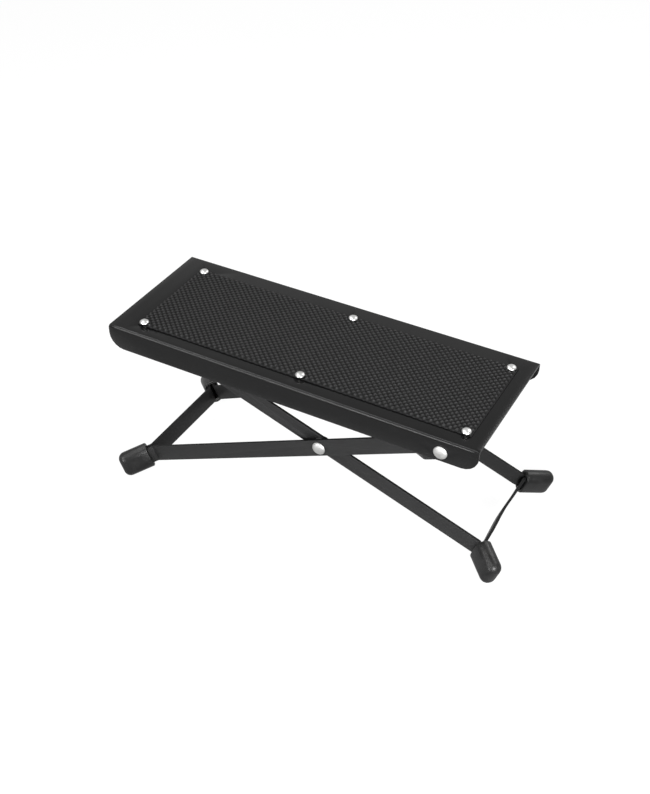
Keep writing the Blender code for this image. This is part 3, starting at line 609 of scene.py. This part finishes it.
# %% A coated copy of a solid
MERGE_WITHIN = 0.000002      # the loose triangles of a solid meet closer than this
FLAT_WITHIN = 1.0            # degrees between two faces that are one flat face
SHARP_FROM = 32              # degrees from which a turn is an edge


def coated_copy(node_name, name, edge, cuts=()):
    """Copy a solid, join its loose triangles, cut it at some planes, and round its edges."""
    source = frame["nodes"][node_name]
    only(source)
    bpy.ops.object.duplicate()
    piece = bpy.context.object
    piece.parent = None
    for key in list(piece.keys()):
        del piece[key]
    piece.name = name
    edit(piece)
    bpy.ops.mesh.select_all(action="SELECT")
    bpy.ops.mesh.remove_doubles(threshold=MERGE_WITHIN)
    bpy.ops.mesh.dissolve_limited(angle_limit=math.radians(FLAT_WITHIN))
    for place, normal in cuts:
        cut(place, normal)
    finish_with(piece, "BEVEL", width=edge, segments=2, limit_method="ANGLE",
                angle_limit=math.radians(SHARP_FROM), use_clamp_overlap=True)
    smooth_below(piece, SHARP_FROM)
    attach(piece, source["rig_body"])
    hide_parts(node_name)
    return piece


# %% [markdown]
# A long bend is only a few faces wide and as long as the platform.  Its smooth shading is
# worked out at the corners of those faces, so on faces as long as that the shading twists, and
# the bright lines on the bend would fade.  Some cuts across the sheet keep the faces shorter.

# %% The four coated pieces
# measured from the platform's open end, and closer together near both its ends
SHEET_CUTS = (0.006, 0.012, 0.05, 0.1, 0.15, 0.2, 0.25, 0.275, 0.288, 0.294)
sheet_way = platform_place.to_3x3() @ Vector((1, 0, 0))
sheet_cuts = [(platform_place @ Vector((along, 0, 0)), sheet_way) for along in SHEET_CUTS]
# each has its solid, its own name, the width of its rounded edges, its coat and its cuts
STEEL = [("platform_plate", "platform_sheet", 0.00035, platform_coat, sheet_cuts),
         ("notched_rack", "coated_rack", 0.0003, frame_coat, ()),
         ("hinged_leg_frame", "hinged_frame_strip", 0.0003, frame_coat, ()),
         ("locking_leg_frame", "locking_frame_strip", 0.0003, frame_coat, ())]
for node_name, name, edge, coat, cuts in STEEL:
    steel = coated_copy(node_name, name, edge, cuts)
    dress(steel, coat)
    print(name, len(steel.data.polygons), "faces")

# %% [markdown]
# ## Strip of the frames
# The frames are bent from sheared strip.  The faces that point along the strip's width take a
# second coat, rougher and darker in colour than the one on its broad faces.

# %% Dull strip edges
EDGE_FACING = 0.6            # how far a face has to point along the width, from 0 to 1
SIDEWAYS = Vector((0, 1, 0))


def side_slope(start, end):
    """The direction from one point to another, as seen from the side."""
    return Vector((end.x - start.x, 0, end.z - start.z)).normalized()


for name in ("hinged_frame_strip", "locking_frame_strip"):
    strip = bpy.data.objects[name]
    strip.data.materials.append(frame_edge_coat)
    low_end = min(strip.data.vertices, key=lambda vertex: vertex.co.z).co
    high_end = max(strip.data.vertices, key=lambda vertex: vertex.co.z).co
    width_way = side_slope(low_end, high_end).cross(SIDEWAYS)
    edge_faces = [face for face in strip.data.polygons
                  if abs(face.normal.dot(width_way)) > EDGE_FACING]
    for face in edge_faces:
        face.material_index = 1
    print(name, len(edge_faces), "edge faces")

# %% [markdown]
# A long cross strip also bows a little between its two bent corners.  A few cuts give it
# vertices to bend at, and its middle is then pulled back with a soft proportional edit.

# %% The bow of the locking frame's cross strip
BOW = 0.0011
BOW_REACH = 0.030            # from the middle to where the bow fades out
BOW_CUTS = (-0.024, -0.016, -0.008, 0.0, 0.008, 0.016, 0.024)
AT_MIDDLE = 0.0001
strip = bpy.data.objects["locking_frame_strip"]
edit(strip)
for across in BOW_CUTS:
    cut((0, across, 0), SIDEWAYS)
middle = pick(strip, "VERT", lambda place: abs(place.y) < AT_MIDDLE)
foot = max(strip.data.vertices, key=lambda vertex: vertex.co.x).co
head = min(strip.data.vertices, key=lambda vertex: vertex.co.x).co
bpy.ops.transform.translate(value=side_slope(foot, head) * BOW, use_proportional_edit=True,
                            proportional_edit_falloff="SMOOTH", proportional_size=BOW_REACH)
only(strip)
print("bowed", middle, "middle vertices by", BOW)

# %% [markdown]
# ## Woven tread mat
# The mat is moulded rubber with rows of small raised lenses, each row shifted by half a step,
# so that dark pits stay between them.  One tile with a lens in its middle and a quarter of one
# at each corner repeats without a seam.  The tile is modelled once, and two Array modifiers
# lay it out, which is how the pattern of a mould is cut.

# %% One tile of the weave, a metre wide at first
WEAVE_CUTS = 12
LENSES = ((0, 0), (-0.5, -0.5), (-0.5, 0.5), (0.5, -0.5), (0.5, 0.5))
AT_LENS = 0.01
LENS_REACH = 0.56            # from the top of a lens to where it fades out
bpy.ops.object.select_all(action="DESELECT")
bpy.ops.mesh.primitive_grid_add(x_subdivisions=WEAVE_CUTS, y_subdivisions=WEAVE_CUTS, size=1)
mat = bpy.context.object
mat.name = "tread_mat_weave"
for lens in LENSES:
    edit(mat, "VERT")
    pick(mat, "VERT", lambda place: math.dist(place.xy, lens) < AT_LENS)
    bpy.ops.transform.translate(value=(0, 0, 1), use_proportional_edit=True,
                                proportional_edit_falloff="SMOOTH",
                                proportional_size=LENS_REACH)
only(mat)
heights = [vertex.co.z for vertex in mat.data.vertices]
print("tile faces", len(mat.data.polygons),
      "height from", round(min(heights), 3), "to", round(max(heights), 3))

# %% Its relief, kept for the finish, and its real size
WEAVE_ALONG = 0.0048
WEAVE_ACROSS = 0.00465
WEAVE_HEIGHT = 0.0015
MAT_TOP = 0.0023             # above the platform's top
kept_relief = mat.data.attributes.new("relief", "FLOAT", "POINT")
kept_relief.data.foreach_set("value", heights)
mat.scale = (WEAVE_ALONG, WEAVE_ACROSS, WEAVE_HEIGHT)
mat.location = (0, 0, MAT_TOP - WEAVE_HEIGHT)
settle(mat)
print("tile", WEAVE_ALONG, "by", WEAVE_ACROSS)

# %% The whole mat
MAT_START, MAT_END = 0.0188, 0.2891      # from the platform's open end
MAT_NEAR, MAT_FAR = -0.0455, 0.0416
WEAVE_START = 0.0019         # first row of lenses from the near edge
MERGE_TILES = 0.00001
TRIM_WITHIN = 0.00002        # vertices this close to a trimming plane count as on it
columns = math.ceil((MAT_END - MAT_START) / WEAVE_ALONG) + 1
rows = math.ceil((MAT_FAR - MAT_NEAR) / WEAVE_ACROSS) + 2
for count, step in ((columns, (1, 0, 0)), (rows, (0, 1, 0))):
    finish_with(mat, "ARRAY", count=count, relative_offset_displace=step,
                use_merge_vertices=True, merge_threshold=MERGE_TILES)
mat.location = (MAT_START, MAT_NEAR + WEAVE_START, 0)
settle(mat)
edit(mat)
for place, outwards in (((MAT_START, 0, 0), (-1, 0, 0)), ((MAT_END, 0, 0), (1, 0, 0)),
                        ((0, MAT_NEAR, 0), (0, -1, 0)), ((0, MAT_FAR, 0), (0, 1, 0))):
    cut(place, outwards, clear_outer=True, threshold=TRIM_WITHIN)
only(mat)
print("mat", columns, "by", rows, "tiles,", len(mat.data.polygons), "faces")

# %% Rim and underside of the mat
MAT_UNDER = 0.0003
RIM_SHARE = 0.4              # how much of its height the mat keeps at its edge
RIM_WIDTH = 0.0022
edit(mat, "EDGE")
bpy.ops.mesh.select_all(action="SELECT")
bpy.ops.mesh.region_to_loop()
bpy.ops.transform.resize(value=(1, 1, RIM_SHARE), center_override=(0, 0, MAT_UNDER),
                         use_proportional_edit=True, proportional_edit_falloff="SMOOTH",
                         proportional_size=RIM_WIDTH)
bpy.ops.mesh.extrude_edges_move()
bpy.ops.transform.resize(value=(1, 1, 0), center_override=(0, 0, MAT_UNDER))
bpy.ops.mesh.edge_face_add()
bpy.ops.mesh.select_all(action="SELECT")
bpy.ops.mesh.normals_make_consistent(inside=False)
smooth_below(mat, 50)
onto_platform(mat)
dress(mat, mat_rubber)
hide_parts("tread_mat")
print("mat faces", len(mat.data.polygons))

# %% [markdown]
# ## Rivets
# Zinc-plated rivets hold the mat, the hinges and the scissor.  A rivet's head is pressed to a
# low dome with a slight dimple where the tool held it.  The dome starts as a sphere that is
# flattened and cut in half, and its flat side is drawn out into the shank and the formed tail.


# %% The dimple in a head
def press_dimple(piece, reach, depth):
    """Sink the middle of a head by a round hollow with a soft rim."""
    for vertex in piece.data.vertices:
        from_axis = math.hypot(vertex.co.x, vertex.co.y)
        if vertex.co.z > 0 and from_axis < reach:
            vertex.co.z -= depth * (0.5 + 0.5 * math.cos(math.pi * from_axis / reach))


# %% One rivet, its head standing on Z = 0
SPHERE_SIDES, SPHERE_RINGS = 40, 24
FLAT_SIDE = -0.9             # the side that was cut flat points down more than this
TAIL_FORM = ((1.0, 0.0), (0.96, 0.7), (0.62, 1.0))   # shares of its radius and of its length
DIMPLE_SHARE = 0.42          # the dimple's radius as a share of the head's


def rivet(name, head, shank, tail, dimple=0.0):
    """A domed rivet.  Its head, shank and tail are each a radius and a length."""
    bpy.ops.object.select_all(action="DESELECT")
    bpy.ops.mesh.primitive_uv_sphere_add(segments=SPHERE_SIDES, ring_count=SPHERE_RINGS,
                                         radius=head[0])
    piece = bpy.context.object
    piece.name = name
    piece.scale = (1, 1, head[1] / head[0])
    settle(piece)
    edit(piece)
    cut((0, 0, 0), (0, 0, -1), clear_outer=True, use_fill=True)
    pick(piece, "FACE", lambda normal: normal.z < FLAT_SIDE)
    steps = [(shank[0], 0.0), (shank[0], -shank[1])]
    steps += [(tail[0] * wide, -shank[1] - tail[1] * deep) for wide, deep in TAIL_FORM]
    radius, level = head[0], 0.0
    for new_radius, new_level in steps:
        drop = (0, 0, new_level - level)
        bpy.ops.mesh.extrude_region_move(TRANSFORM_OT_translate={"value": drop})
        share = new_radius / radius
        bpy.ops.transform.resize(value=(share, share, 1), center_override=(0, 0, new_level))
        radius, level = new_radius, new_level
    only(piece)
    press_dimple(piece, head[0] * DIMPLE_SHARE, dimple)
    smooth_below(piece, 40)
    return piece


# %% The six mat rivets
MAT_RIVETS = (0.0234, 0.15725, 0.2848)           # from the platform's open end
MAT_RIVET_SIDES = (("near", -0.0434), ("far", 0.0382))
TURN_STEP = 1.3              # radians from one rivet to the next, so that no two look alike
pattern = rivet("mat_rivet_pattern", head=(0.0035, 0.0019), shank=(0.0015, 0.0041),
                tail=(0.0024, 0.0009), dimple=0.00005)
for side, across in MAT_RIVET_SIDES:
    for number, along in enumerate(MAT_RIVETS, start=1):
        only(pattern)
        bpy.ops.object.duplicate()
        piece = bpy.context.object
        piece.name = f"domed_mat_rivet_{side}_{number}"
        piece.rotation_euler = (0, 0, number * TURN_STEP)
        piece.location = (along, across, MAT_TOP)
        settle(piece)
        onto_platform(piece)
        dress(piece, bright_zinc)
        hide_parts(f"mat_rivet_{side}_{number}")
bpy.data.objects.remove(pattern)
low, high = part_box("mat_rivet_near_2")
print("middle near rivet spans", [round(v, 4) for v in (*low, *high)])

# %% [markdown]
# Each of the four pivot rivets holds a stack of parts together: a flange and a strip at the
# hinge, two strips with a spacer between them at the scissor, and a washer inside each.  It
# is as long as its stack, and that length is read from its solid.  The rivet is made upright
# and then laid over sideways, with its head outwards.

# %% The four pivot rivets
PIVOT_HEAD = (0.0052, 0.002)
PIVOT_SHANK_RADIUS = 0.003
PIVOT_TAIL = (0.0046, 0.0015)
QUARTER_TURN = math.radians(90)
for pivot in ("hinge", "scissor"):
    for side, sign in (("near", -1), ("far", 1)):
        node_name = f"{pivot}_rivet_{side}"
        low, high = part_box(node_name)
        length = high[1] - low[1]
        shank_length = length - PIVOT_HEAD[1] - PIVOT_TAIL[1]
        piece = rivet(f"domed_{node_name}", head=PIVOT_HEAD,
                      shank=(PIVOT_SHANK_RADIUS, shank_length), tail=PIVOT_TAIL)
        outer = max(abs(low[1]), abs(high[1]))
        x, z = ((low[axis] + high[axis]) / 2 for axis in (0, 2))
        piece.rotation_euler = (-sign * QUARTER_TURN, 0, 0)
        piece.location = (x, sign * (outer - PIVOT_HEAD[1]), z)
        settle(piece)
        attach(piece, frame["nodes"][node_name]["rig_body"])
        dress(piece, pivot_zinc)
        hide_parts(node_name)
        print(piece.name, "length", round(length, 4))

# %% [markdown]
# ## Small parts and caps
# Washers, spacers, the rack's rivets and the locking rod are plain turned parts under zinc,
# and the caps are moulded rubber.  Their measured solids already have the right forms, bores
# included, so each is only copied, and its edges are broken by a small bevel.

# %% Finishes on the remaining solids
SMALL_EDGE = 0.00025
for name, solid in frame["nodes"].items():
    if solid.hide_render:
        continue
    piece = coated_copy(name, "finished_" + name, SMALL_EDGE)
    if "cap" in name:
        dress(piece, cap_rubber)
    else:
        dress(piece, pivot_zinc if name == "locking_rod" else bright_zinc)
    print(piece.name, "in", piece.data.materials[0].name)
